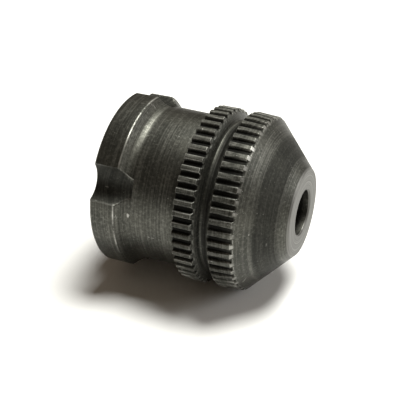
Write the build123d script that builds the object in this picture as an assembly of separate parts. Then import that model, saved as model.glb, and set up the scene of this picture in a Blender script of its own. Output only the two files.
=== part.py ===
from build123d import *
from math import cos, radians, sin, tan
import os

# Small keyless drill chuck. +X runs along the spindle axis towards the nose and +Z is up.
# The origin is the mouth of the spindle thread, at the centre of the hub's rear face.
# It is drawn open, with the jaws back inside the hood. All sizes are in millimetres.
# Angles are turned about +X, from +Y towards +Z.

# ---- outside of the hood: lengths run from its rear face to the nose ----
HOOD_R = 12.75                 # crest of the knurling and of the rear collar
COLLAR_LENGTH = 3.7
COLLAR_FLANK = 1.25            # sloping stretch from the collar down to the waist
COLLAR_ROUND = 0.4
FLANK_SWEEP = 2.2              # radius at the foot of the flank
WAIST_LENGTH = 7.55
WAIST_DEPTH = 1.4              # how far the waist lies below the crest
WAIST_TAPER = 0.13             # the waist is this much slimmer at its front end
REAR_BAND = 2.65
GROOVE_REAR_SLOPE = 0.85
GROOVE_FLOOR = 0.7
GROOVE_FRONT_SLOPE = 1.15
GROOVE_DEPTH = 1.6
FRONT_BAND = 3.05
CONE_LENGTH = 5.75
CONE_SHOULDER = 0.18           # crest radius lost where the cone starts
NOSE_CROWN = 0.3
NOSE_FACE_R = 6.5
NOSE_HOLE_R = 3.25
HOLE_EDGE = 0.2
REAR_EDGE = 0.25
HOOD_WALL = 1.45                # wall between the flutes and the hood's bore

# ---- knurling and wrench flutes ----
TEETH = 50
TOOTH_DEPTH = 0.5
VALLEY_MOUTH = 1.0
VALLEY_FLOOR = 0.5
VALLEY_ANGLE = 154.2           # one of the valleys
FLUTES = 4
FLUTE_ANGLE = 157.0            # the first flute
FLUTE_CUTTER_R = 3.0
FLUTE_STEP = 0.4              # the flute's floor lies this far below the waist
FLUTE_OVERRUN = 0.7            # and it runs this far past the foot of the flank

# ---- jaws and the cone that closes them ----
JAWS = 3
JAW_ANGLE = 90.0               # the first jaw points up
CONE_ANGLE = 20.0              # half-angle of the cone inside the hood
NOSE_LAND = 1.0                # straight part of the nose hole
OPEN_GRIP_R = 1.5              # largest shank radius
CLOSED_GRIP_R = 0.15           # smallest shank radius
JAW_LENGTH = 7.4
JAW_WIDTH = 4.0
JAW_BACK_R = 3.1
JAW_LAND = 0.4                 # width of the gripping edge
JAW_PROUD = 0.9                # the tips stand this far out of the nose when closed
JAW_TIP_R = 1.7
SLIDING = 0.05                 # clearance of everything that slides in the hood
NECK_WIDTH = 1.4
NECK_LENGTH = 1.0
TAIL_WIDTH = 2.4
TAIL_LENGTH = 1.0
TAIL_HEIGHT = 2.4
TAIL_START = 1.3               # inner end of a tail when closed

# ---- drive screw, left-hand ----
THREAD_PITCH = 1.0
THREAD_DEPTH = 0.5
THREAD_CREST = 0.2
THREAD_FLANK = 30.0            # degrees
THREAD_BURY = 0.15             # how far the ridge is rooted in the core
THREAD_PLAY = 0.1
SCREW_R = 3.0
SCREW_LENGTH = 8.3
SCREW_HEAD = 3.0
SCREW_HEAD_R = 4.4
SCREW_END_ROOM = 0.2
SCREW_POINT = 0.5              # plain stretch before the thread starts
TAP_RELIEF = 1.2               # plain undercut at the bottom of the tapped bore
HEAD_ROOM = 0.1

# ---- jaw guide ----
GUIDE_FLANGE = 1.9
GUIDE_STEP = 0.6               # the flange is this much smaller in radius than the hood's bore
GUIDE_ROOM = 0.1
GUIDE_FRONT = 2.0              # its fins start this far behind the nose
GUIDE_HEAD_ROOM = 0.15
SLOT_ROOM = 0.25               # the slots reach this far beyond the backs of the drawn-in jaws
PIN_R = 0.7
PIN_LENGTH = 3.6
PIN_INSET = 1.0                # pin centre below the rim of the guide

# ---- hub and ball race ----
RACE_SPACE = 3.3               # radial room between the hub and the hood for the ball race
HUB_FLANGE = 2.6
HUB_WEB = 1.0                  # wall between the screw's bore and the spindle thread
HUB_EDGE = 0.4
FLAT_DEPTH = 0.7               # two flats for a wrench, 11 mm apart
FLAT_LENGTH = 2.2
SPINDLE_MINOR_R = 3.5          # tapped M8 x 1
SPINDLE_DEPTH = 6.3
SPINDLE_MOUTH = 0.3
RUNNING = 0.06                 # radial running clearance
BALLS = 16
BALL_R = 1.0
BALL_BITE = 0.25               # how deep a ball sits in each race
BALL_PLAY = 0.04
RACE = 0.9
RACE_INSET = 0.15
CAGE = 0.7
CAGE_INSET = 0.35
POCKET_PLAY = 0.06

# ---- parts that close the back of the hood ----
SEATED = 0.02                  # gap between parts that are seated on each other
RING_LENGTH = 3.3
SPANNER_HOLES = 4
SPANNER_HOLE_R = 0.7
SPANNER_HOLE_DEPTH = 1.6
LOCK_SCREW_R = 0.8
LOCK_SCREW_LENGTH = 2.8
HEX_R = 0.5
HEX_DEPTH = 1.0
SEAL_LENGTH = 1.1
SEAL_WALL = 1.2
SEAL_PLAY = 0.1
COVER = 0.9
COVER_EDGE = 0.2
SNAP_RING = 0.9
SNAP_GROOVE = 0.45
SNAP_WIDTH = 1.0
SNAP_LUG_R = 1.1
SNAP_HOLE_R = 0.45
SNAP_GAP = 36.0                # degrees left open
SNAP_ANGLE = 270.0             # the gap is at the bottom
OVERCUT = 1.0                  # cutters run this far past what they cut

# ---- what follows from them ----
SLOPE = tan(radians(CONE_ANGLE))
RADIAL_TRAVEL = OPEN_GRIP_R - CLOSED_GRIP_R
AXIAL_TRAVEL = RADIAL_TRAVEL / SLOPE
REAR_PART = COLLAR_LENGTH + COLLAR_FLANK + WAIST_LENGTH
GROOVE_LENGTH = GROOVE_REAR_SLOPE + GROOVE_FLOOR + GROOVE_FRONT_SLOPE
HOOD_LENGTH = REAR_PART + REAR_BAND + GROOVE_LENGTH + FRONT_BAND + CONE_LENGTH + NOSE_CROWN
WAIST_REAR_R = HOOD_R - WAIST_DEPTH
FLUTE_FLOOR_R = WAIST_REAR_R - FLUTE_STEP
HOOD_BORE_R = FLUTE_FLOOR_R - HOOD_WALL
GUIDE_FLANGE_R = HOOD_BORE_R - GUIDE_STEP
HUB_R = HOOD_BORE_R - RACE_SPACE
LOCK_ANGLE = FLUTE_ANGLE + 180.0 / FLUTES

# Stations along X, from the spindle thread forwards.
SCREW_BORE_FLOOR = SPINDLE_DEPTH + HUB_WEB
SCREW_END = SCREW_BORE_FLOOR + SCREW_END_ROOM
HEAD_REAR = SCREW_END + SCREW_LENGTH
HEAD_FRONT = HEAD_REAR + SCREW_HEAD
JAW_REAR = HEAD_FRONT + SLIDING
NOSE = JAW_REAR + JAW_LENGTH + AXIAL_TRAVEL - JAW_PROUD
HOOD_REAR = NOSE - HOOD_LENGTH
HUB_FRONT = HEAD_REAR - HEAD_ROOM
GUIDE_REAR = HUB_FRONT + GUIDE_ROOM
GUIDE_SEAT = GUIDE_REAR + GUIDE_FLANGE

# Stations from the hub's flange backwards.
FLANGE_REAR = HUB_FRONT - HUB_FLANGE
FRONT_RACE_REAR = FLANGE_REAR - SEATED - RACE
BALL_CENTRE = FRONT_RACE_REAR - BALL_R + BALL_BITE
REAR_RACE_FRONT = BALL_CENTRE - BALL_R + BALL_BITE
RING_FRONT = REAR_RACE_FRONT - RACE - SEATED
RING_REAR = RING_FRONT - RING_LENGTH
COVER_FRONT = RING_REAR - SEATED
SNAP_FRONT = COVER_FRONT - COVER - SEATED
BALL_TRACK_R = (HUB_R + HOOD_BORE_R) / 2


def cone_r(x):
    """Radius of the hood's closing cone at a station."""
    return NOSE_HOLE_R + (NOSE - NOSE_LAND - x) * SLOPE


def turned(points):
    """Solid of revolution about X from its outline, as (station, radius) points."""
    return revolve(make_face(Polyline(*points, close=True)), Axis.X)


def rod(radius, start, end, centre_r=0.0, angle=0.0):
    """Cylinder along X from one station to another, its centre on a pitch circle."""
    centre_y = centre_r * cos(radians(angle))
    centre_z = centre_r * sin(radians(angle))
    plane = Plane(origin=(start, centre_y, centre_z), x_dir=(0, 1, 0), z_dir=(1, 0, 0))
    return extrude(plane * Circle(radius), end - start)


def washer(inner, outer, rear, front):
    return turned([(rear, inner), (rear, outer), (front, outer), (front, inner)])


def block(start, end, width, inner, outer):
    """Block along X, symmetric about the plane Y = 0, between two radii measured up +Z."""
    middle = ((start + end) / 2, 0, (inner + outer) / 2)
    return Pos(*middle) * Box(end - start, width, outer - inner)


def around(angle):
    """Turn a shape made pointing up +Z so that it points along an angle."""
    return Rot(angle - 90.0, 0, 0)


def hood_outline():
    """Outer surface of the hood, as a face between the axis and its silhouette."""
    collar_end = HOOD_REAR + COLLAR_LENGTH
    waist_start = collar_end + COLLAR_FLANK
    band_start = waist_start + WAIST_LENGTH
    band_end = band_start + REAR_BAND
    floor_start = band_end + GROOVE_REAR_SLOPE
    floor_end = floor_start + GROOVE_FLOOR
    front_band = floor_end + GROOVE_FRONT_SLOPE
    cone_start = front_band + FRONT_BAND
    cone_end = cone_start + CONE_LENGTH
    waist_front_r = WAIST_REAR_R - WAIST_TAPER
    groove_r = HOOD_R - GROOVE_DEPTH
    points = [
        (HOOD_REAR, 0),
        (HOOD_REAR, HOOD_R - REAR_EDGE),
        (HOOD_REAR + REAR_EDGE, HOOD_R),
        (collar_end, HOOD_R),
        (waist_start, WAIST_REAR_R),
        (band_start, waist_front_r),
        (band_start, HOOD_R),
        (band_end, HOOD_R),
        (floor_start, groove_r),
        (floor_end, groove_r),
        (front_band, HOOD_R),
        (cone_start, HOOD_R - CONE_SHOULDER),
        (cone_end, NOSE_FACE_R),
        (NOSE, NOSE_FACE_R - NOSE_CROWN),
        (NOSE, 0),
    ]
    face = make_face(Polyline(*points, close=True))
    face = round_corner(face, collar_end, HOOD_R, COLLAR_ROUND)
    return round_corner(face, waist_start, WAIST_REAR_R, FLANK_SWEEP)


def round_corner(face, x, r, radius):
    corner = face.vertices().sort_by_distance((x, r, 0))[0]
    return fillet(corner, radius)


def hood_cavity():
    """Everything that is turned out of the inside of the hood."""
    land_rear = NOSE - NOSE_LAND
    flange_r = GUIDE_FLANGE_R + SEATED
    seat = GUIDE_SEAT + SEATED
    bore_front = GUIDE_REAR - SEATED
    cavity = turned([
        (NOSE + OVERCUT, 0),
        (NOSE + OVERCUT, NOSE_HOLE_R + HOLE_EDGE + OVERCUT),
        (NOSE - HOLE_EDGE, NOSE_HOLE_R),
        (land_rear, NOSE_HOLE_R),
        (seat, cone_r(seat)),
        (seat, flange_r),
        (bore_front, flange_r),
        (bore_front, HOOD_BORE_R),
        (HOOD_REAR + REAR_EDGE, HOOD_BORE_R),
        (HOOD_REAR - OVERCUT, HOOD_BORE_R + REAR_EDGE + OVERCUT),
        (HOOD_REAR - OVERCUT, 0),
    ])
    groove = rod(HOOD_BORE_R + SNAP_GROOVE, SNAP_FRONT - SNAP_RING - SEATED, SNAP_FRONT + SEATED)
    return cavity + groove


def knurl_cutters():
    """One straight valley for each tooth, across both bands and out through the cone."""
    start = HOOD_REAR + REAR_PART - OVERCUT
    end = NOSE - CONE_LENGTH + OVERCUT
    floor_r = HOOD_R - TOOTH_DEPTH
    top_r = HOOD_R + OVERCUT
    flare = (VALLEY_MOUTH - VALLEY_FLOOR) / 2 / TOOTH_DEPTH
    top_half = VALLEY_MOUTH / 2 + flare * OVERCUT
    outline = Polyline((-VALLEY_FLOOR / 2, floor_r), (-top_half, top_r), (top_half, top_r),
                       (VALLEY_FLOOR / 2, floor_r), close=True)
    plane = Plane(origin=(start, 0, 0), x_dir=(0, 1, 0), z_dir=(1, 0, 0))
    valley = extrude(plane * make_face(outline), end - start)
    return [around(VALLEY_ANGLE + 360.0 * tooth / TEETH) * valley for tooth in range(TEETH)]


def flute_cutters():
    """Round-bottomed wrench flutes through the rear collar, ending in a step in the waist."""
    end = HOOD_REAR + COLLAR_LENGTH + COLLAR_FLANK + FLUTE_OVERRUN
    centre = FLUTE_FLOOR_R + FLUTE_CUTTER_R
    step = 360.0 / FLUTES
    return [rod(FLUTE_CUTTER_R, HOOD_REAR - OVERCUT, end, centre, FLUTE_ANGLE + step * flute)
            for flute in range(FLUTES)]


def pin_angle(number):
    """The guide's pins sit midway between the jaws."""
    return JAW_ANGLE + 360.0 / JAWS * (number + 0.5)


def pin_at(number, play=0.0):
    start = GUIDE_REAR + SEATED
    end = start + PIN_LENGTH + play
    return rod(PIN_R + play, start, end, GUIDE_FLANGE_R - PIN_INSET, pin_angle(number))


def lock_screw_hole():
    """Half of this hole is in the retaining ring and half in the hood."""
    front = RING_REAR + LOCK_SCREW_LENGTH + SEATED
    return rod(LOCK_SCREW_R + SEATED, RING_REAR - SEATED, front, HOOD_BORE_R, LOCK_ANGLE)


def make_hood():
    hood = revolve(hood_outline(), Axis.X)
    hood -= hood_cavity()
    hood -= flute_cutters()
    hood -= knurl_cutters()
    hood -= [pin_at(number, SEATED) for number in range(JAWS)]
    return hood - lock_screw_hole()


def make_jaw_guide():
    """Slotted cone seated in the hood: its fins keep the jaws apart."""
    head_stop = HEAD_FRONT + AXIAL_TRAVEL + GUIDE_HEAD_ROOM
    front = NOSE - GUIDE_FRONT
    bore_r = SCREW_HEAD_R + GUIDE_HEAD_ROOM
    guide = turned([
        (GUIDE_REAR, bore_r),
        (GUIDE_REAR, GUIDE_FLANGE_R),
        (GUIDE_SEAT, GUIDE_FLANGE_R),
        (GUIDE_SEAT, cone_r(GUIDE_SEAT) - SEATED),
        (front, cone_r(front) - SEATED),
        (front, 0),
        (head_stop, 0),
        (head_stop, bore_r),
    ])
    slot_r = cone_r(JAW_REAR) + SLOT_ROOM
    slot = block(GUIDE_REAR - OVERCUT, NOSE, JAW_WIDTH + 2 * SLIDING, 0, slot_r)
    guide -= [around(jaw_angle(number)) * slot for number in range(JAWS)]
    return guide - [pin_at(number, SEATED / 2) for number in range(JAWS)]


def jaw_angle(number):
    return JAW_ANGLE + 360.0 / JAWS * number


def make_jaw(number):
    """One jaw, shaped in its closed place against the cone and then drawn back."""
    tip = NOSE + JAW_PROUD
    rear = tip - JAW_LENGTH
    across = sin(radians(CONE_ANGLE))
    along = cos(radians(CONE_ANGLE))
    sunk = JAW_BACK_R + SLIDING
    axis_start = (tip - sunk * across, 0, cone_r(tip) - sunk * along)
    slant = Plane(origin=axis_start, x_dir=(0, 1, 0), z_dir=(-along, 0, across))
    reach = 2 * HOOD_R
    stock = Circle(JAW_BACK_R) + Pos(0, reach / 2) * Rectangle(2 * JAW_BACK_R, reach)
    stock = stock & Rectangle(JAW_WIDTH, 2 * reach)
    wedge = extrude(slant * stock, amount=2 * JAW_LENGTH, both=True)
    flare = JAW_LAND / 2 + reach * tan(radians(180.0 / JAWS))
    vee = Polyline((-JAW_LAND / 2, CLOSED_GRIP_R), (-flare, CLOSED_GRIP_R + reach),
                   (flare, CLOSED_GRIP_R + reach), (JAW_LAND / 2, CLOSED_GRIP_R), close=True)
    ends = Plane(origin=(rear, 0, 0), x_dir=(0, 1, 0), z_dir=(1, 0, 0))
    wedge = wedge & extrude(ends * make_face(vee), JAW_LENGTH)
    wedge = wedge & turned([(tip, 0), (tip, JAW_TIP_R), (tip - reach, JAW_TIP_R + reach), (tip - reach, 0)])
    top = TAIL_START + TAIL_HEIGHT
    neck = block(rear - NECK_LENGTH - TAIL_LENGTH / 2, rear + NECK_LENGTH, NECK_WIDTH, TAIL_START, top)
    tail = block(rear - NECK_LENGTH - TAIL_LENGTH, rear - NECK_LENGTH, TAIL_WIDTH, TAIL_START, top)
    jaw = wedge + neck + tail
    return around(jaw_angle(number)) * Pos(-AXIAL_TRAVEL, 0, RADIAL_TRAVEL) * jaw


def threaded_shank(start, end, play=0.0):
    """Core and left-hand thread of the drive screw, grown all over by a clearance."""
    root_r = SCREW_R - THREAD_DEPTH + play
    foot_r = root_r - THREAD_BURY
    height = THREAD_DEPTH + THREAD_BURY
    half_crest = THREAD_CREST / 2 + play
    half_foot = half_crest + height * tan(radians(THREAD_FLANK))
    turns_ahead = round((SCREW_END - start) / THREAD_PITCH)
    ridge_start = SCREW_END + SCREW_POINT - turns_ahead * THREAD_PITCH
    foot = (ridge_start, 0, 0)
    helix = Helix(THREAD_PITCH, end - ridge_start, foot_r, center=foot, direction=(1, 0, 0), lefthand=True)
    outward = Vector(0, (helix @ 0).Y, (helix @ 0).Z).normalized()
    section = Plane(origin=helix @ 0, x_dir=outward, z_dir=outward.cross(Vector(1, 0, 0)))
    tooth = Polyline((0, -half_foot), (height, -half_crest), (height, half_crest), (0, half_foot),
                     close=True)
    ridge = sweep(section * make_face(tooth), path=helix, is_frenet=True)
    return rod(root_r, start, end) + ridge


def make_drive_screw():
    thread_end = HEAD_REAR - THREAD_PITCH
    screw = threaded_shank(SCREW_END, thread_end)
    screw += rod(SCREW_R - THREAD_DEPTH, thread_end - SEATED, HEAD_REAR)
    screw += rod(SCREW_HEAD_R, HEAD_REAR, HEAD_FRONT)
    wall = NECK_LENGTH - 2 * SLIDING
    cavity_end = HEAD_FRONT - wall
    cavity_start = cavity_end - TAIL_LENGTH - 2 * SLIDING
    inner = TAIL_START - 2 * SLIDING
    outer = SCREW_HEAD_R + OVERCUT
    slot = block(cavity_end - SLIDING, HEAD_FRONT + OVERCUT, NECK_WIDTH + 2 * SLIDING, inner, outer)
    slot += block(cavity_start, cavity_end, TAIL_WIDTH + 2 * SLIDING, inner, outer)
    return screw - [around(jaw_angle(number)) * slot for number in range(JAWS)]


def make_hub():
    """Flanged hub: tapped for the spindle behind, bored for the drive screw in front."""
    flange_r = HOOD_BORE_R - RUNNING
    tap_r = SCREW_R - THREAD_DEPTH + THREAD_PLAY
    hub = turned([
        (0, SPINDLE_MINOR_R + SPINDLE_MOUTH),
        (0, HUB_R - HUB_EDGE),
        (HUB_EDGE, HUB_R),
        (FLANGE_REAR, HUB_R),
        (FLANGE_REAR, flange_r),
        (HUB_FRONT - HUB_EDGE, flange_r),
        (HUB_FRONT, flange_r - HUB_EDGE),
        (HUB_FRONT, tap_r),
        (SCREW_BORE_FLOOR, tap_r),
        (SCREW_BORE_FLOOR, 0),
        (SPINDLE_DEPTH, 0),
        (SPINDLE_DEPTH, SPINDLE_MINOR_R),
        (SPINDLE_MOUTH, SPINDLE_MINOR_R),
    ])
    flat = block(-OVERCUT, FLAT_LENGTH, 2 * HOOD_R, HUB_R - FLAT_DEPTH, HOOD_R)
    hub -= [around(90.0) * flat, around(270.0) * flat]
    hub -= rod(SCREW_R + 2 * THREAD_PLAY, SCREW_BORE_FLOOR, SCREW_BORE_FLOOR + TAP_RELIEF)
    return hub - threaded_shank(SCREW_END, HUB_FRONT + 2 * THREAD_PITCH, THREAD_PLAY)


def make_race(front, inner, outer):
    """Hardened ring with a ball groove in the face towards the balls."""
    ring = washer(inner, outer, front - RACE, front)
    groove_r = BALL_R + BALL_PLAY
    track = Plane.XY * Pos(BALL_CENTRE, BALL_TRACK_R) * Circle(groove_r)
    return ring - revolve(track, Axis.X)


def make_front_race():
    return make_race(FRONT_RACE_REAR + RACE, HUB_R + SEATED, HOOD_BORE_R - RACE_INSET)


def make_rear_race():
    return make_race(REAR_RACE_FRONT, HUB_R + RACE_INSET, HOOD_BORE_R - SEATED)


def ball_angle(number):
    return JAW_ANGLE + 360.0 / BALLS * number


def make_ball(number):
    angle = radians(ball_angle(number))
    return Pos(BALL_CENTRE, BALL_TRACK_R * cos(angle), BALL_TRACK_R * sin(angle)) * Sphere(BALL_R)


def make_ball_cage():
    rear = BALL_CENTRE - CAGE / 2
    front = BALL_CENTRE + CAGE / 2
    cage = washer(HUB_R + CAGE_INSET, HOOD_BORE_R - CAGE_INSET, rear, front)
    pocket_r = BALL_R + POCKET_PLAY
    return cage - [rod(pocket_r, rear - OVERCUT, front + OVERCUT, BALL_TRACK_R, ball_angle(number))
                   for number in range(BALLS)]


def make_retaining_ring():
    """Threaded ring that holds the rear race in the hood, with a recess for the seal."""
    ring = washer(HUB_R + RUNNING, HOOD_BORE_R - SEATED, RING_REAR, RING_FRONT)
    recess_r = HUB_R + SEAL_PLAY + SEAL_WALL + SEATED
    mouth = RING_REAR - OVERCUT
    ring -= rod(recess_r, mouth, RING_REAR + SEAL_LENGTH + SEATED)
    hole_circle = (recess_r + HOOD_BORE_R) / 2
    for hole in range(SPANNER_HOLES):
        angle = LOCK_ANGLE + 360.0 / SPANNER_HOLES * (hole + 0.5)
        ring -= rod(SPANNER_HOLE_R, mouth, RING_REAR + SPANNER_HOLE_DEPTH, hole_circle, angle)
    return ring - lock_screw_hole()


def make_lock_screw():
    """Grub screw on the joint of ring and hood, so that the ring can't unscrew."""
    front = RING_REAR + LOCK_SCREW_LENGTH
    screw = rod(LOCK_SCREW_R, RING_REAR, front, HOOD_BORE_R, LOCK_ANGLE)
    centre = (0, HOOD_BORE_R * cos(radians(LOCK_ANGLE)), HOOD_BORE_R * sin(radians(LOCK_ANGLE)))
    socket = Plane(origin=(RING_REAR, centre[1], centre[2]), x_dir=(0, 1, 0), z_dir=(1, 0, 0))
    return screw - extrude(socket * RegularPolygon(HEX_R, 6), HEX_DEPTH)


def make_dust_seal():
    inner = HUB_R + SEAL_PLAY
    return washer(inner, inner + SEAL_WALL, RING_REAR, RING_REAR + SEAL_LENGTH)


def make_rear_cover():
    outer = HOOD_BORE_R - SLIDING
    rear = COVER_FRONT - COVER
    return turned([
        (COVER_FRONT, HUB_R + SEAL_PLAY),
        (COVER_FRONT, outer),
        (rear + COVER_EDGE, outer),
        (rear, outer - COVER_EDGE),
        (rear, HUB_R + SEAL_PLAY),
    ])


def make_snap_ring():
    """Open spring ring in the hood's groove, with an eyed lug at each end."""
    outer = HOOD_BORE_R + SNAP_GROOVE - SEATED
    inner = HOOD_BORE_R - SNAP_WIDTH
    rear = SNAP_FRONT - SNAP_RING
    far_out = 2 * HOOD_R * cos(radians(SNAP_GAP / 2))
    far_across = 2 * HOOD_R * sin(radians(SNAP_GAP / 2))
    gap = Polyline((0, 0), (far_out, far_across), (far_out, -far_across), close=True)
    plane = Plane(origin=(rear - OVERCUT, 0, 0), x_dir=(0, 1, 0), z_dir=(1, 0, 0))
    gap_cutter = Rot(SNAP_ANGLE, 0, 0) * extrude(plane * make_face(gap), SNAP_RING + 2 * OVERCUT)
    ring = washer(inner, outer, rear, SNAP_FRONT) - gap_cutter
    lug_circle = HOOD_BORE_R - SNAP_LUG_R
    for side in (-1, 1):
        angle = SNAP_ANGLE + side * SNAP_GAP / 2
        ring += rod(SNAP_LUG_R, rear, SNAP_FRONT, lug_circle, angle)
        ring -= rod(SNAP_HOLE_R, rear - OVERCUT, SNAP_FRONT + OVERCUT, lug_circle, angle)
    return ring


def numbered(name, count, make):
    """Name repeated parts name_1, name_2 and so on."""
    width = len(str(count))
    return {f"{name}_{number + 1:0{width}d}": make(number) for number in range(count)}


parts = {
    "hood": make_hood(),
    "jaw_guide": make_jaw_guide(),
    "drive_screw": make_drive_screw(),
    "hub": make_hub(),
    "front_race": make_front_race(),
    "rear_race": make_rear_race(),
    "ball_cage": make_ball_cage(),
    "retaining_ring": make_retaining_ring(),
    "lock_screw": make_lock_screw(),
    "dust_seal": make_dust_seal(),
    "rear_cover": make_rear_cover(),
    "snap_ring": make_snap_ring(),
}
parts.update(numbered("guide_pin", JAWS, pin_at))
parts.update(numbered("jaw", JAWS, make_jaw))
parts.update(numbered("ball", BALLS, make_ball))

os.makedirs("parts", exist_ok=True)
for node, solid in parts.items():
    export_step(solid, f"parts/{node}.step")
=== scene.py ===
from collections import namedtuple
from math import atan2, cos, hypot, pi, radians, sin, sqrt, tan

import bmesh
import bpy
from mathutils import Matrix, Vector


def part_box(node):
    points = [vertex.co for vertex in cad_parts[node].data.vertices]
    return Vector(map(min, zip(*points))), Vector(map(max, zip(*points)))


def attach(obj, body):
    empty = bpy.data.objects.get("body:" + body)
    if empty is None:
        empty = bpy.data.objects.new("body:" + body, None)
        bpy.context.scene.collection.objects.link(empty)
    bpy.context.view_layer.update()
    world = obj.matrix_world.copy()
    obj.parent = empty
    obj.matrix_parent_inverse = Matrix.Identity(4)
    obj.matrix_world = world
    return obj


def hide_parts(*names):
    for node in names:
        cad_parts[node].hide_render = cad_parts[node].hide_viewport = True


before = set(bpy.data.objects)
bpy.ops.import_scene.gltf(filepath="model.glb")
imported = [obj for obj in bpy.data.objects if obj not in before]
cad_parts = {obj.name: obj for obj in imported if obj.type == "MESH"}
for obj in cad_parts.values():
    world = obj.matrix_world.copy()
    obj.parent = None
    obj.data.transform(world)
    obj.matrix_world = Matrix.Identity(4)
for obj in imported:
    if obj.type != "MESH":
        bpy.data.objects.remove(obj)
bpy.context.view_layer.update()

MM = 0.001

# ---------------------------------------------------------------------------
# Sizes. Places come from the frame; the lengths are the hood's own, in metres.
# ---------------------------------------------------------------------------
HOOD_LOW, HOOD_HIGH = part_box("hood")
HOOD_REAR = HOOD_LOW.x
NOSE = HOOD_HIGH.x
HOOD_R = (HOOD_HIGH.y - HOOD_LOW.y) / 2
FLOOR_Z = -HOOD_R

COLLAR_LENGTH = 3.7 * MM
COLLAR_FLANK = 1.25 * MM
FLANK_SWEEP = 2.2 * MM
COLLAR_ROUNDING = 0.35 * MM
WAIST_LENGTH = 7.55 * MM
WAIST_REAR_R = HOOD_R - 1.4 * MM
WAIST_FRONT_R = WAIST_REAR_R - 0.13 * MM
REAR_BAND = 2.65 * MM
GROOVE_REAR_SLOPE = 0.85 * MM
GROOVE_FLOOR = 0.7 * MM
GROOVE_FRONT_SLOPE = 1.15 * MM
GROOVE_R = HOOD_R - 1.6 * MM
GROOVE_ROUNDING = 0.2 * MM
FRONT_BAND = 3.05 * MM
CONE_LENGTH = 5.75 * MM
CONE_START_R = HOOD_R - 0.18 * MM
NOSE_FACE_R = 6.5 * MM
NOSE_CROWN = 0.3 * MM
NOSE_HOLE_R = 3.25 * MM
NOSE_LAND = 1.0 * MM
HOLE_EDGE = 0.2 * MM
REAR_EDGE = 0.25 * MM

COLLAR_END = HOOD_REAR + COLLAR_LENGTH
WAIST_START = COLLAR_END + COLLAR_FLANK
REAR_BAND_START = WAIST_START + WAIST_LENGTH
REAR_BAND_END = REAR_BAND_START + REAR_BAND
GROOVE_START = REAR_BAND_END + GROOVE_REAR_SLOPE
GROOVE_END = GROOVE_START + GROOVE_FLOOR
FRONT_BAND_START = GROOVE_END + GROOVE_FRONT_SLOPE
CONE_START = FRONT_BAND_START + FRONT_BAND
CONE_END = CONE_START + CONE_LENGTH

# Inside of the hood.
GUIDE_LOW, GUIDE_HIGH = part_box("jaw_guide")
SNAP_LOW, SNAP_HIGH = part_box("snap_ring")
SEATED = 0.02 * MM             # gap round the pieces that sit in the hood
GUIDE_FLANGE = 1.9 * MM
GUIDE_FLANGE_R = (GUIDE_HIGH.y - GUIDE_LOW.y) / 2 + SEATED
HOOD_BORE_R = 9.5 * MM
SNAP_GROOVE_R = 9.95 * MM
CLOSING_SLOPE = tan(radians(20.0))

# Knurling and flutes; angles turn about +X from +Y towards +Z.
TEETH = 50
TOOTH_PITCH = 2 * pi / TEETH
TOOTH_DEPTH = 0.5 * MM
TOOTH_FLOOR_R = HOOD_R - TOOTH_DEPTH
VALLEY_ANGLE = radians(154.2)
VALLEY_FLOOR_HALF = 0.25 * MM
VALLEY_MOUTH_HALF = 0.5 * MM
KNURL_START = REAR_BAND_START - 0.2 * MM
KNURL_RUNOUT = 0.6 * MM        # the valleys run out this far down the cone
FLUTES = 4
FLUTE_ANGLE = radians(157.0)
FLUTE_CUTTER_R = 3.0 * MM
FLUTE_FLOOR_R = WAIST_REAR_R - 0.4 * MM
FLUTE_END = WAIST_START + 0.7 * MM


# ---------------------------------------------------------------------------
# Shader graph: arithmetic on sockets, and one method for every other node.
# ---------------------------------------------------------------------------
class Wire:
    """A shader socket with arithmetic: each expression adds its Math nodes."""

    def __init__(self, finish, socket):
        self.finish = finish
        self.socket = socket

    def math(self, operation, *values):
        sockets = dict(enumerate((self,) + values))
        return self.finish.node("ShaderNodeMath", {"operation": operation}, sockets)["Value"]

    def __add__(self, other):
        return self.math("ADD", other)

    __radd__ = __add__

    def __sub__(self, other):
        return self.math("SUBTRACT", other)

    def __rsub__(self, other):
        return self.finish.node("ShaderNodeMath", {"operation": "SUBTRACT"}, {0: other, 1: self})["Value"]

    def __mul__(self, other):
        return self.math("MULTIPLY", other)

    __rmul__ = __mul__

    def __pow__(self, other):
        return self.math("POWER", other)

    def step(self, low, high):
        """0 below low, 1 above high, smooth between; works downwards too when low is above high."""
        settings = {"interpolation_type": "SMOOTHSTEP"}
        if low <= high:
            sockets = {"Value": self, "From Min": low, "From Max": high, "To Min": 0.0, "To Max": 1.0}
        else:
            sockets = {"Value": self, "From Min": high, "From Max": low, "To Min": 1.0, "To Max": 0.0}
        return self.finish.node("ShaderNodeMapRange", settings, sockets)["Result"]


class Node:
    """A shader node whose outputs are read by name as wires."""

    def __init__(self, finish, node):
        self.finish = finish
        self.node = node

    def __getitem__(self, output):
        return Wire(self.finish, self.node.outputs[output])


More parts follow.
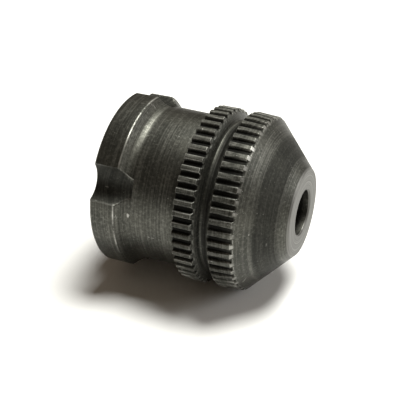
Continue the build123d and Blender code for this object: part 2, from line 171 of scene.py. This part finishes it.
class Finish:
    """One material and its node graph."""

    def __init__(self, name):
        self.material = bpy.data.materials.new(name)
        self.material.use_nodes = True
        self.tree = self.material.node_tree
        self.tree.nodes.clear()
        self.output = self.tree.nodes.new("ShaderNodeOutputMaterial")
        self.place = self.node("ShaderNodeTexCoord", {}, {})["Object"]

    def node(self, kind, settings, sockets):
        made = self.tree.nodes.new(kind)
        for name, setting in settings.items():
            setattr(made, name, setting)
        for name, value in sockets.items():
            if isinstance(value, Wire):
                self.tree.links.new(value.socket, made.inputs[name])
            else:
                made.inputs[name].default_value = value
        return Node(self, made)

    def mix(self, factor, first, second):
        """Blend two colours."""
        sockets = {"Factor": factor, 6: first, 7: second}
        return Wire(self, self.node("ShaderNodeMix", {"data_type": "RGBA"}, sockets).node.outputs[2])

    def stretched(self, x=1.0, y=1.0, z=1.0):
        sockets = {0: self.place, 1: (x, y, z)}
        return self.node("ShaderNodeVectorMath", {"operation": "MULTIPLY"}, sockets)["Vector"]

    def noise(self, vector, scale, detail=2.0, roughness=0.5):
        sockets = {"Vector": vector, "Scale": scale, "Detail": detail, "Roughness": roughness}
        return self.node("ShaderNodeTexNoise", {}, sockets)["Fac"]

    def attribute(self, name):
        return self.node("ShaderNodeAttribute", {"attribute_name": name}, {})["Fac"]

    def bump(self, height, depth, strength=1.0):
        sockets = {"Height": height, "Distance": depth, "Strength": strength}
        return self.node("ShaderNodeBump", {}, sockets)["Normal"]

    def surface(self, **sockets):
        names = {name.replace("_", " ").replace("Ior", "IOR"): value for name, value in sockets.items()}
        shader = self.node("ShaderNodeBsdfPrincipled", {}, names)
        self.tree.links.new(shader.node.outputs["BSDF"], self.output.inputs["Surface"])
        return self.material


def colour(red, green, blue):
    return (red, green, blue, 1.0)


def turning_marks(finish, fineness):
    """Height of the tool's fine rings: it changes along the axis and outwards, and barely around."""
    axes = finish.node("ShaderNodeSeparateXYZ", {}, {0: finish.place})
    radius = (axes["Y"] * axes["Y"] + axes["Z"] * axes["Z"]) ** 0.5
    along = axes["X"] - radius * 0.7
    lay = {"X": along * fineness, "Y": axes["Y"] * 60.0, "Z": axes["Z"] * 60.0}
    rings = finish.node("ShaderNodeCombineXYZ", {}, lay)
    return finish.noise(rings["Vector"], 1.0, detail=3.0, roughness=0.65), radius, axes


def scratches(finish, lay, density):
    """Fine straight scratches: a noise drawn out along one direction, and only here and there."""
    lines = finish.noise(finish.stretched(*lay), 1.0, detail=1.0).step(0.70, 0.74)
    patches = finish.noise(finish.place, 210.0, detail=1.0).step(density, density + 0.05)
    return lines * patches


BLACK_OXIDE = colour(0.052, 0.053, 0.046)
THIN_OXIDE = colour(0.082, 0.082, 0.070)
RING_CRESTS = colour(0.165, 0.163, 0.145)
DARK_SPOTS = colour(0.020, 0.020, 0.018)
LIGHT_SPOTS = colour(0.20, 0.20, 0.178)
CREST_LINES = colour(0.18, 0.178, 0.162)
# Painted shade: near-black laid into the knurl's valleys, the flutes, the groove and the hollows inside,
# where shade falls.
RECESS_PAINTED_SHADE = colour(0.010, 0.010, 0.009)
BARE_STEEL = colour(0.46, 0.455, 0.425)
FACE_DARK = colour(0.08, 0.079, 0.073)
FACE_LIGHT = colour(0.19, 0.188, 0.176)
FACE_STAIN = colour(0.09, 0.09, 0.082)
TURNING_FINENESS = 4500.0
MARK_HEIGHT = 0.014 * MM


def worn_through(finish, recess_shade, wear):
    """How far the oxide is rubbed through: along edges, in scratches and in small nicks."""
    rub = finish.noise(finish.place, 420.0, detail=2.0).step(0.36, 0.72)
    patchy = finish.noise(finish.place, 2600.0, detail=2.0).step(0.4, 0.7)
    edges = finish.attribute("edge") * (rub * 0.75 + patchy * 0.25) * wear
    nicks = finish.noise(finish.place, 3600.0, detail=1.0).step(0.755, 0.79) * 0.8
    marks = scratches(finish, (900.0, 5200.0, 700.0), 0.60).math("MAXIMUM", nicks)
    return edges.math("MAXIMUM", marks * (1 - recess_shade) * 0.7)


def tooth_crests(radius, axes):
    """1 on the tops of the knurl's teeth."""
    outermost = radius.step(HOOD_R - 0.16 * MM, HOOD_R - 0.08 * MM)
    return outermost * axes["X"].step(KNURL_START, KNURL_START + 0.1 * MM)


def faced_end(finish, base, cloud, radius, axes):
    """Blend rings of bare steel over the nose face; also returns their height."""
    face = axes["X"].step(NOSE - 0.36 * MM, NOSE - 0.22 * MM) * radius.step(3.2 * MM, 3.3 * MM)
    outward = finish.node("ShaderNodeCombineXYZ", {}, {"X": radius * 4200.0})
    bands = finish.noise(outward["Vector"], 1.0, detail=2.0)
    bare = finish.mix(bands.step(0.35, 0.7), FACE_DARK, FACE_LIGHT)
    bare = finish.mix(cloud.step(0.5, 0.75) * 0.5, bare, FACE_STAIN)
    return finish.mix(face, base, bare), bands * face


def blackened_steel(name, wear=1.0, faced=False):
    """Black oxide over turned steel, rubbed through along its edges and, when faced, on the nose face; its
    hollows get a painted shade.
    """
    finish = Finish(name)
    rings, radius, axes = turning_marks(finish, TURNING_FINENESS)
    cloud = finish.noise(finish.place, 240.0, detail=4.0)
    grain = finish.noise(finish.place, 8000.0, detail=2.0)
    mottle = finish.noise(finish.place, 2700.0, detail=3.0, roughness=0.7)
    # Painted shade of the hollows, 0 to 1, carried on the mesh.
    recess_shade = finish.attribute("recess_shade")
    crest = tooth_crests(radius, axes)
    lines = finish.noise(finish.stretched(500.0, 7000.0, 7000.0), 1.0, detail=2.0)
    worn = worn_through(finish, recess_shade, wear)

    base = finish.mix(cloud.step(0.35, 0.7), BLACK_OXIDE, THIN_OXIDE)
    base = finish.mix(rings.step(0.42, 0.74) * 0.75, base, RING_CRESTS)
    base = finish.mix(mottle.step(0.44, 0.66) * 0.42, base, DARK_SPOTS)
    base = finish.mix(mottle.step(0.46, 0.30) * 0.45, base, LIGHT_SPOTS)
    # Painted shade: the hollows are darkened towards near-black.
    base = finish.mix(recess_shade * 1.1, base, RECESS_PAINTED_SHADE)
    base = finish.mix(crest * lines.step(0.47, 0.70) * 0.6, base, CREST_LINES)
    base = finish.mix(worn, base, BARE_STEEL)
    height = rings * 0.9 + grain * 0.15 + mottle * 0.3
    if faced:
        base, bands = faced_end(finish, base, cloud, radius, axes)
        height = height + bands
    return finish.surface(
        Base_Color=base,
        Metallic=0.92,
        Roughness=0.40 + rings * 0.12 + recess_shade * 0.35 + crest * 0.28 - worn * 0.12,
        Normal=finish.bump(height, MARK_HEIGHT, 0.8),
        Anisotropic=0.3,
    )


def plain_steel(name, tone, rough, ring_tone=1.25):
    """Bare turned or ground steel."""
    finish = Finish(name)
    rings = turning_marks(finish, 8000.0)[0]
    cloud = finish.noise(finish.place, 500.0, detail=3.0)
    light = colour(*(channel * ring_tone for channel in tone))
    base = finish.mix(rings.step(0.3, 0.7) * 0.6 + cloud * 0.3, colour(*tone), light)
    return finish.surface(
        Base_Color=base,
        Metallic=1.0,
        Roughness=rough + cloud * 0.12,
        Normal=finish.bump(rings, 0.008 * MM, 0.5),
    )


def seal_rubber(name):
    finish = Finish(name)
    dust = finish.noise(finish.place, 1800.0, detail=4.0)
    base = finish.mix(dust.step(0.45, 0.8), colour(0.012, 0.012, 0.012), colour(0.05, 0.048, 0.045))
    return finish.surface(
        Base_Color=base,
        Roughness=0.7 + dust * 0.15,
        Normal=finish.bump(dust, 0.02 * MM, 0.5),
    )


# ---------------------------------------------------------------------------
# Turned pieces: an outline with rounded corners, spun about the X axis.
# ---------------------------------------------------------------------------
Corner = namedtuple("Corner", "x r rounding rows worn arc_rows", defaults=(0.0, 1, 1.0, 3))
SHARE_BEFORE = 0.55            # an arc takes up at most this share of the run before its corner
SHARE_AFTER = 0.49


def outline_rows(corners):
    """Rows of a closed outline as (x, r, worn): rounded corners, and the rows asked for on each run."""
    rows = []
    count = len(corners)
    for number, corner in enumerate(corners):
        before = corners[number - 1]
        after = corners[(number + 1) % count]
        arc = corner_arc(before, corner, after)
        last = len(arc) - 1
        rows += [(x, r, corner.worn if 0 < place < last else 0.0) for place, (x, r) in enumerate(arc)]
        following = corner_arc(corner, after, corners[(number + 2) % count])[0]
        start = arc[-1]
        for row in range(1, corner.rows):
            share = row / corner.rows
            rows.append((start[0] + (following[0] - start[0]) * share,
                         start[1] + (following[1] - start[1]) * share, 0.0))
    return rows


def corner_arc(before, corner, after):
    """Points of the arc that rounds a corner, or the corner itself."""
    if not corner.rounding:
        return [(corner.x, corner.r)]
    here = Vector((corner.x, corner.r))
    back = Vector((before.x, before.r)) - here
    ahead = Vector((after.x, after.r)) - here
    half = back.angle(ahead) / 2
    reach = min(corner.rounding / tan(half), back.length * SHARE_BEFORE, ahead.length * SHARE_AFTER)
    start = here + back.normalized() * reach
    end = here + ahead.normalized() * reach
    points = []
    for step in range(corner.arc_rows + 1):
        t = step / corner.arc_rows
        point = start * (1 - t) ** 2 + here * (2 * t * (1 - t)) + end * t ** 2
        points.append((point.x, point.y))
    return points


def spun(name, rows, stations, shape=None):
    """Spin an outline into a closed mesh, then let a shape function move each vertex in or out."""
    bm = bmesh.new()
    edge = bm.verts.layers.float.new("edge")
    # Second layer: painted shade of the hollows, 0 to 1, set by the shape function.
    recess_shade = bm.verts.layers.float.new("recess_shade")
    chain = []
    for x, r, worn in rows:
        vertex = bm.verts.new((x, r, 0.0))
        vertex[edge] = worn
        chain.append(vertex)
    edges = [bm.edges.new((chain[number - 1], chain[number])) for number in range(len(chain))]
    steps = len(stations)
    bmesh.ops.spin(bm, geom=chain + edges, cent=(0, 0, 0), axis=(1, 0, 0), angle=2 * pi, steps=steps,
                   use_merge=True)
    for vertex in bm.verts:
        x, y, z = vertex.co
        station = stations[round(atan2(z, y) / (2 * pi) * steps) % steps]
        r = hypot(y, z)
        if shape:
            r, vertex[edge], vertex[recess_shade] = shape(x, r, station, vertex[edge])
        vertex.co = (x, r * cos(station), r * sin(station))
    bmesh.ops.recalc_face_normals(bm, faces=bm.faces)
    return mesh_object(name, bm)


def mesh_object(name, bm, sharp=radians(40.0)):
    mesh = bpy.data.meshes.new(name)
    bm.to_mesh(mesh)
    bm.free()
    mesh.shade_smooth()
    mesh.set_sharp_from_angle(angle=sharp)
    made = bpy.data.objects.new(name, mesh)
    bpy.context.scene.collection.objects.link(made)
    return made


def soft_min(first, second, blend):
    """The lower of two radii with the corner between them rounded, and how near that corner is (0 to 1)."""
    near = max(blend - abs(first - second), 0.0) / blend
    return min(first, second) - near * near * blend / 4, near


# ---------------------------------------------------------------------------
# Hood
# ---------------------------------------------------------------------------
EDGE = 0.10 * MM               # rounding of the machined edges
TIP_WEAR = 0.5 * MM            # the teeth are rubbed bare this far down the cone
CUT_ROUNDING = 0.12 * MM       # rounding where the teeth and the flutes are cut
FLUTE_END_RISE = 8.0           # steepness of the wall that ends a flute
# Painted shade, 0 to 1, darkening the hollows in the finish.
TOOTH_SHADE = 0.85             # painted shade at the bottoms of the valleys, 0 to 1
FLUTE_SHADE = 0.5
FLUTE_DEPTH = 0.8 * MM         # the flutes reach their full painted shade at this depth
GROOVE_SHADE = 0.6
INSIDE_SHADE = 0.5
UNCUT_R = SNAP_GROOVE_R + 0.2 * MM


def angle_from(station, centre):
    """Signed angle from a centre line, between -pi and pi."""
    return (station - centre + pi) % (2 * pi) - pi


def valley_radius(station):
    """Radius of the knurl's valley at a station: flat floor, straight flanks."""
    offset = angle_from(station, VALLEY_ANGLE) % TOOTH_PITCH
    across = min(offset, TOOTH_PITCH - offset) * HOOD_R
    flank = (across - VALLEY_FLOOR_HALF) / (VALLEY_MOUTH_HALF - VALLEY_FLOOR_HALF)
    return TOOTH_FLOOR_R + max(flank, 0.0) * (HOOD_R - TOOTH_FLOOR_R)


def flute_radius(x, station):
    """Radius of the round-bottomed flute at a station, rising steeply past its end."""
    centre = FLUTE_FLOOR_R + FLUTE_CUTTER_R
    pitch = 2 * pi / FLUTES
    offset = angle_from(station, FLUTE_ANGLE) % pitch
    offset = min(offset, pitch - offset)
    across = centre * sin(offset)
    if across >= FLUTE_CUTTER_R:
        return 2 * HOOD_R
    wall = max(x - FLUTE_END, 0.0) * FLUTE_END_RISE
    return centre * cos(offset) - sqrt(FLUTE_CUTTER_R ** 2 - across ** 2) + wall


def hood_shape(x, r, station, worn):
    """Cut the knurling and the flutes into the turned outline: new radius, edge wear and painted shade of
    the hollows.

    Inside the uncut radius, the bore and the front of the cone are evenly shaded, up to the last stretch
    before the nose.
    """
    if r < UNCUT_R:
        return r, worn, INSIDE_SHADE if x < NOSE - NOSE_LAND else 0.0
    if x > KNURL_START:
        cut = valley_radius(station)
        shade = min(max((r - cut) / TOOTH_DEPTH, 0.0), TOOTH_SHADE)
    else:
        cut = flute_radius(x, station)
        shade = min(max((r - cut) / FLUTE_DEPTH, 0.0), FLUTE_SHADE)
    r, near = soft_min(r, cut, CUT_ROUNDING)
    worn = max(near ** 3, worn * (1 - min(shade * 8, 1.0)))
    if cut > HOOD_R and CONE_START < x < CONE_START + TIP_WEAR:
        worn = max(worn, min(2 * (CONE_START + TIP_WEAR - x) / TIP_WEAR, 1.0))
    # Painted shade in the groove: rising across its floor, fading up its front slope.
    in_groove = min((x - GROOVE_START) / GROOVE_FLOOR, (FRONT_BAND_START - x) / GROOVE_FRONT_SLOPE)
    return r, worn, max(shade, min(max(in_groove, 0.0), GROOVE_SHADE))


FLUTE_RIBS = 16                # ribs of the mesh on each side of a flute's centre line
FLUTE_RIB_ANGLE = radians(0.85)
LEAST_RIB_ANGLE = radians(0.18)


def hood_stations():
    """Angles of the mesh's ribs: on every edge of each tooth, and closer together across the flutes."""
    mouth = VALLEY_MOUTH_HALF
    marks = [VALLEY_FLOOR_HALF, mouth - 0.09 * MM, mouth, mouth + 0.07 * MM]
    angles = set()
    for tooth in range(TEETH):
        valley = VALLEY_ANGLE + tooth * TOOTH_PITCH
        for mark in marks:
            angles.add(valley + mark / HOOD_R)
            angles.add(valley - mark / HOOD_R)
        angles.add(valley + TOOTH_PITCH / 2)
    for flute in range(FLUTES):
        centre = FLUTE_ANGLE + flute * 2 * pi / FLUTES
        for rib in range(-FLUTE_RIBS, FLUTE_RIBS + 1):
            angles.add(centre + rib * FLUTE_RIB_ANGLE)
    turned = sorted(angle % (2 * pi) for angle in angles)
    kept = [turned[0]]
    for angle in turned[1:]:
        if angle - kept[-1] > LEAST_RIB_ANGLE:
            kept.append(angle)
    return kept


def hood_outline():
    land_rear = NOSE - NOSE_LAND
    seat = GUIDE_LOW.x + GUIDE_FLANGE + SEATED
    seat_r = NOSE_HOLE_R + (land_rear - seat) * CLOSING_SLOPE
    bore_front = GUIDE_LOW.x - SEATED
    valley_runout = CONE_START + KNURL_RUNOUT
    slope = (CONE_START_R - NOSE_FACE_R) / CONE_LENGTH
    runout_r = CONE_START_R - (valley_runout - CONE_START) * slope
    return outline_rows([
        Corner(HOOD_REAR, HOOD_R - REAR_EDGE, EDGE, 1),
        Corner(HOOD_REAR + REAR_EDGE, HOOD_R, EDGE, 4),
        Corner(COLLAR_END, HOOD_R, COLLAR_ROUNDING, 9),
        Corner(WAIST_START, WAIST_REAR_R, FLANK_SWEEP, 6, 0.0, 12),
        Corner(REAR_BAND_START, WAIST_FRONT_R, 0.0, 4),
        Corner(REAR_BAND_START, HOOD_R, EDGE, 5),
        Corner(REAR_BAND_END, HOOD_R, EDGE, 12),
        Corner(GROOVE_START, GROOVE_R, GROOVE_ROUNDING, 2, 0.0),
        Corner(GROOVE_END, GROOVE_R, GROOVE_ROUNDING, 12, 0.0),
        Corner(FRONT_BAND_START, HOOD_R, EDGE, 5),
        Corner(CONE_START, CONE_START_R, EDGE, 12),
        Corner(valley_runout, runout_r, 0.0, 8),
        Corner(CONE_END, NOSE_FACE_R, 0.15 * MM, 1),
        Corner(NOSE, NOSE_FACE_R - NOSE_CROWN, 0.1 * MM, 5),
        Corner(NOSE, NOSE_HOLE_R + HOLE_EDGE, 0.06 * MM, 1),
        Corner(NOSE - HOLE_EDGE, NOSE_HOLE_R, 0.06 * MM, 2),
        Corner(land_rear, NOSE_HOLE_R, 0.05 * MM, 6, 0.0),
        Corner(seat, seat_r),
        Corner(seat, GUIDE_FLANGE_R),
        Corner(bore_front, GUIDE_FLANGE_R),
        Corner(bore_front, HOOD_BORE_R, 0.0, 3),
        Corner(SNAP_HIGH.x + SEATED, HOOD_BORE_R),
        Corner(SNAP_HIGH.x + SEATED, SNAP_GROOVE_R),
        Corner(SNAP_LOW.x - SEATED, SNAP_GROOVE_R),
        Corner(SNAP_LOW.x - SEATED, HOOD_BORE_R),
        Corner(HOOD_REAR + REAR_EDGE, HOOD_BORE_R, EDGE, 1),
        Corner(HOOD_REAR, HOOD_BORE_R + REAR_EDGE, EDGE, 2),
    ])


hood = spun("hood_knurled", hood_outline(), hood_stations(), hood_shape)
hood.data.materials.append(blackened_steel("blackened_hood", faced=True))
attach(hood, "hood")
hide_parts("hood")

# ---------------------------------------------------------------------------
# Finishes of the pieces that keep their machined form, and the broken edges of those that show
# ---------------------------------------------------------------------------
FINISHES = {
    "hub": blackened_steel("blackened_hub", 0.6),
    "rear_cover": blackened_steel("blackened_cover", 0.6),
    "snap_ring": plain_steel("spring_steel", (0.16, 0.15, 0.14), 0.35),
    "jaw_guide": plain_steel("guide_steel", (0.2, 0.195, 0.19), 0.4),
    "retaining_ring": plain_steel("ring_steel", (0.25, 0.245, 0.24), 0.4),
    "drive_screw": plain_steel("screw_steel", (0.4, 0.39, 0.38), 0.3),
    "ball_cage": plain_steel("cage_brass", (0.6, 0.42, 0.18), 0.3),
    "dust_seal": seal_rubber("seal_rubber"),
}
JAW_STEEL = plain_steel("jaw_steel", (0.30, 0.295, 0.285), 0.30)
BEARING_STEEL = plain_steel("bearing_steel", (0.6, 0.6, 0.61), 0.12, 1.1)
for node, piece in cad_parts.items():
    finish = FINISHES.get(node, JAW_STEEL if node.startswith("jaw_") else BEARING_STEEL)
    piece.data.materials.clear()
    piece.data.materials.append(finish)

JAW_EDGE = 0.06 * MM
COVER_EDGE = 0.06 * MM
SNAP_EDGE = 0.08 * MM
HUB_EDGE = 0.10 * MM
HUB_EDGE_REACH = 3.0 * MM      # only the hub's rear end has its edges broken
WELD = 0.002 * MM


def eased(node, body, width, reach=NOSE):
    """A copy of a machined piece whose sharp edges, up to a reach along the axis, have a small bevel."""
    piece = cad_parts[node]
    bm = bmesh.new()
    bm.from_mesh(piece.data)
    bm.transform(piece.matrix_world)
    bmesh.ops.remove_doubles(bm, verts=bm.verts, dist=WELD)
    bmesh.ops.dissolve_limit(bm, angle_limit=radians(0.5), verts=bm.verts, edges=bm.edges)
    sharp = [edge for edge in bm.edges
             if edge.is_manifold and edge.calc_face_angle() > radians(30.0) and edge.verts[0].co.x < reach]
    bmesh.ops.bevel(bm, geom=sharp, offset=width, segments=2, profile=0.5, affect="EDGES", material=-1,
                    clamp_overlap=True)
    bmesh.ops.triangulate(bm, faces=bm.faces)
    made = mesh_object(node + "_eased", bm, radians(30.0))
    made.data.materials.append(piece.data.materials[0])
    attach(made, body)
    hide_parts(node)
    return made


for jaw in ("jaw_1", "jaw_2", "jaw_3"):
    eased(jaw, jaw, JAW_EDGE)
eased("rear_cover", "hood", COVER_EDGE)
eased("snap_ring", "hood", SNAP_EDGE)
eased("hub", "hub", HUB_EDGE, HUB_EDGE_REACH)

# ---------------------------------------------------------------------------
# Floor, light and camera
# ---------------------------------------------------------------------------
def paper_floor():
    bm = bmesh.new()
    bmesh.ops.create_grid(bm, x_segments=2, y_segments=2, size=3.0)
    bmesh.ops.translate(bm, verts=bm.verts, vec=(0, 0, FLOOR_Z))
    floor = mesh_object("paper", bm)
    finish = Finish("white_paper")
    floor.data.materials.append(finish.surface(Base_Color=colour(0.9, 0.9, 0.9), Roughness=0.9))


def area_light(name, place, aim, size, power, tint):
    lamp = bpy.data.lights.new(name, "AREA")
    lamp.shape = "DISK"
    lamp.size = size
    lamp.energy = power
    lamp.color = tint
    made = bpy.data.objects.new(name, lamp)
    made.location = place
    made.rotation_euler = (Vector(aim) - Vector(place)).to_track_quat("-Z", "Y").to_euler()
    bpy.context.scene.collection.objects.link(made)


paper_floor()
AIM = Vector((0.013, 0.0, 0.0))
area_light("key", AIM + Vector((0.09, 0.11, 0.47)), AIM, 0.24, 4.1, (1.0, 1.0, 0.95))
area_light("side", AIM + Vector((0.42, 0.20, 0.16)), AIM, 0.26, 0.9, (1.0, 1.0, 0.99))

world = bpy.data.worlds.new("studio")
world.use_nodes = True
world.node_tree.nodes["Background"].inputs["Color"].default_value = colour(1.0, 0.80, 0.60)
world.node_tree.nodes["Background"].inputs["Strength"].default_value = 0.12
bpy.context.scene.world = world
bpy.context.scene.view_settings.view_transform = "Standard"

CAMERA_PLACE = Vector((60.2, -108.0, 68.0)) * MM
CAMERA_AIM = Vector((13.38, 0.0, -1.63)) * MM
camera_data = bpy.data.cameras.new("camera")
camera_data.lens = 84.0
camera_data.sensor_width = 36.0
camera_data.clip_start = 0.01
camera = bpy.data.objects.new("camera", camera_data)
camera.location = CAMERA_PLACE
camera.rotation_euler = (CAMERA_AIM - CAMERA_PLACE).to_track_quat("-Z", "Y").to_euler()
bpy.context.scene.collection.objects.link(camera)
bpy.context.scene.camera = camera
